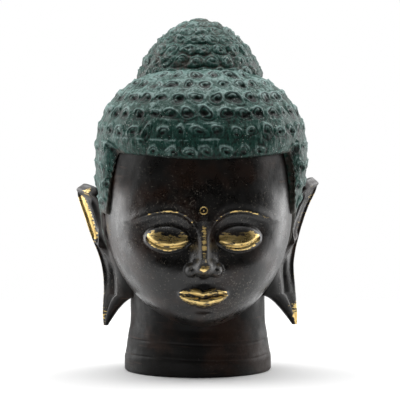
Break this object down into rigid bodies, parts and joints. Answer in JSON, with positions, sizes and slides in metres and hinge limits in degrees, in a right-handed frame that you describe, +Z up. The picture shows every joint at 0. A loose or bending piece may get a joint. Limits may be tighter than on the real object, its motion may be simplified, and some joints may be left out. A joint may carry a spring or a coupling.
{
  "type": "brass buddha head",
  "caption": "Cast brass bust of a buddha's head with snail-curl hair, a domed topknot and long ears, standing on the flat foot of its neck.",
  "frame": {"origin": "centre of the flat underside of the foot, on the surface it stands on", "axes": "+Z up through the topknot, -Y the way the face looks, +X to the right as seen from in front"},
  "size_m": [0.1051, 0.1036, 0.15],
  "materials": {
    "patina": "black-brown patina over cast brass, with green verdigris on the hair and brass rubbed bright on the lids, lips, brows, nose and ears"
  },
  "bodies": {
    "root": {"buddha_head": "patina"}
  },
  "joints": []
}
